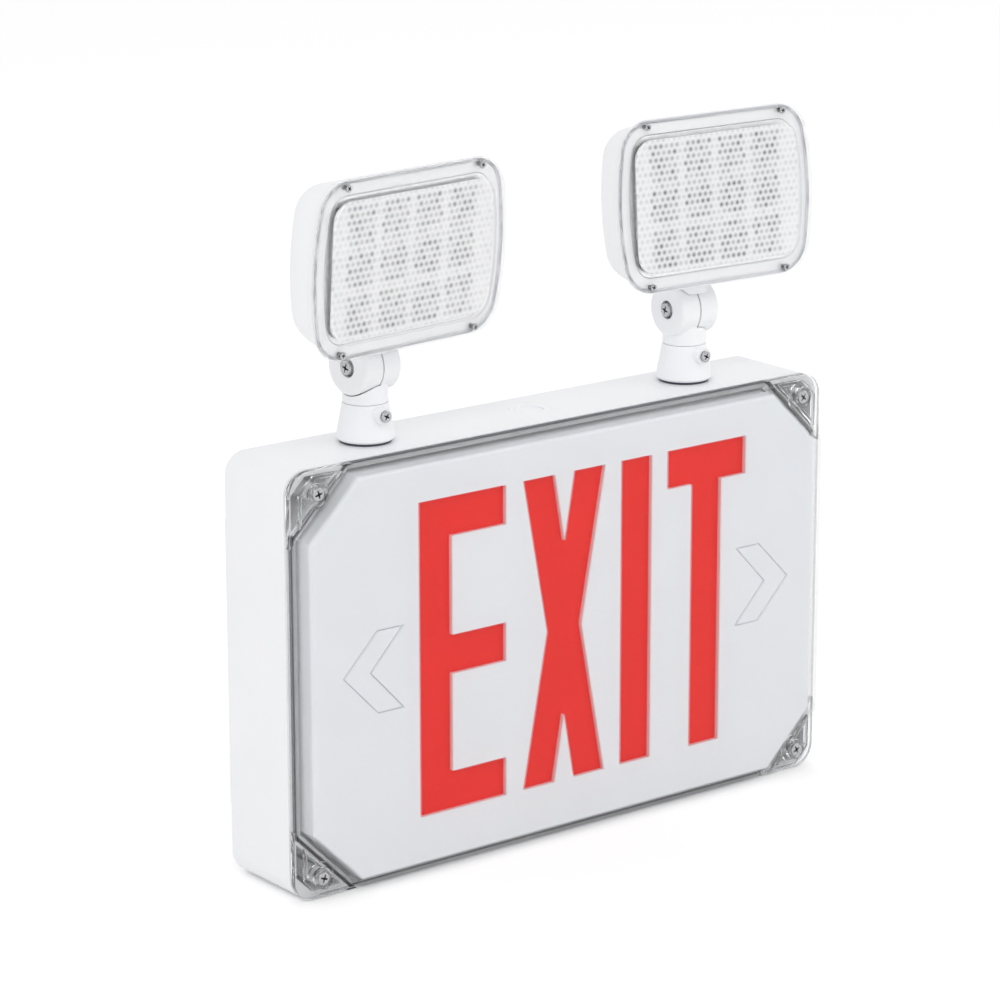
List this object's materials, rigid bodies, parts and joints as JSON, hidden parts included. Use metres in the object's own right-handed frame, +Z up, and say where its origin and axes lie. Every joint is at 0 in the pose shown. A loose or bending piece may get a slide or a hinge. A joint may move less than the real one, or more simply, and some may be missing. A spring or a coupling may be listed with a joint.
{
  "type": "emergency exit light",
  "caption": "Wall-mounted emergency exit sign with red cut-out letters under a clear sealed cover and swivelling lamp heads on top.",
  "frame": {"origin": "centre of the wall plane behind the housing", "axes": "+Z up, the sign faces -Y, the wall is on the +Y side, +X is to the right seen from the front"},
  "size_m": [0.3226, 0.0689, 0.3394],
  "materials": {
    "white_housing": "fine satin moulded surface",
    "dark_gasket": "matt",
    "clear_cover": "clear, polished",
    "steel": "bright zinc plated",
    "white_face": "smooth satin",
    "red_panel": "translucent, smooth",
    "white_inner": "smooth",
    "led_strip": "white solder mask",
    "circuit_board": "green solder mask",
    "transformer": "stacked sheet",
    "battery": "shrink wrap over steel cells",
    "white_plug": "satin",
    "button": "satin",
    "status_lens": "clear green",
    "white_lamp": "fine satin moulded surface",
    "clear_lens": "prismatic, clear",
    "reflector": "bright metal film on plastic",
    "nut_plastic": "matt"
  },
  "bodies": {
    "enclosure": {"housing": "white_housing", "cover_gasket": "dark_gasket", "clear_cover": "clear_cover", "cover_screws": "steel", "stencil_plate": "white_face", "red_panel": "red_panel", "light_tray": "white_inner", "upper_led_strip": "led_strip", "lower_led_strip": "led_strip", "control_board": "circuit_board", "transformer": "transformer", "battery_pack": "battery", "battery_strap": "white_inner", "conduit_plug": "white_plug", "status_lamp": "status_lens", "switch_board": "circuit_board", "left_base_gasket": "dark_gasket", "left_lamp_base": "white_lamp", "left_base_nut": "nut_plastic", "left_set_screw": "steel", "right_base_gasket": "dark_gasket", "right_lamp_base": "white_lamp", "right_base_nut": "nut_plastic", "right_set_screw": "steel"},
    "left_swivel": {"left_lower_knuckle": "white_lamp", "left_knuckle_screw": "steel", "left_knuckle_nut": "steel"},
    "left_head": {"left_upper_knuckle": "white_lamp", "left_lamp_shell": "white_lamp", "left_arm_screw": "steel", "left_lens_gasket": "dark_gasket", "left_lamp_lens": "clear_lens", "left_lens_screws": "steel", "left_lamp_reflector": "reflector", "left_lamp_board": "led_strip"},
    "right_swivel": {"right_lower_knuckle": "white_lamp", "right_knuckle_screw": "steel"},
    "right_head": {"right_upper_knuckle": "white_lamp", "right_lamp_shell": "white_lamp", "right_arm_screw": "steel", "right_lens_gasket": "dark_gasket", "right_lamp_lens": "clear_lens", "right_lens_screws": "steel", "right_lamp_reflector": "reflector", "right_lamp_board": "led_strip", "right_knuckle_nut": "steel"},
    "test_button": {"test_button": "button"}
  },
  "joints": [
    {"name": "left_pan", "type": "hinge", "parent": "enclosure", "child": "left_swivel", "pos_m": [-0.0964, -0.027, 0.102], "axis": [0, 0, 1], "range_deg": [-46.5, 33.5]},
    {"name": "left_tilt", "type": "hinge", "parent": "left_swivel", "child": "left_head", "pos_m": [-0.0964, -0.027, 0.1382], "axis": [0.9936, 0.1132, 0], "range_deg": [-14, 56]},
    {"name": "right_pan", "type": "hinge", "parent": "enclosure", "child": "right_swivel", "pos_m": [0.0964, -0.027, 0.102], "axis": [0, 0, 1], "range_deg": [-37.5, 42.5]},
    {"name": "right_tilt", "type": "hinge", "parent": "right_swivel", "child": "right_head", "pos_m": [0.0964, -0.027, 0.1382], "axis": [0.999, -0.0436, 0], "range_deg": [-6, 64]},
    {"name": "test_press", "type": "slide", "parent": "enclosure", "child": "test_button", "axis": [-1, 0, 0], "range_m": [0, 0.0015], "stiffness_N_per_m": 400, "springref_m": -0.0015}
  ]
}
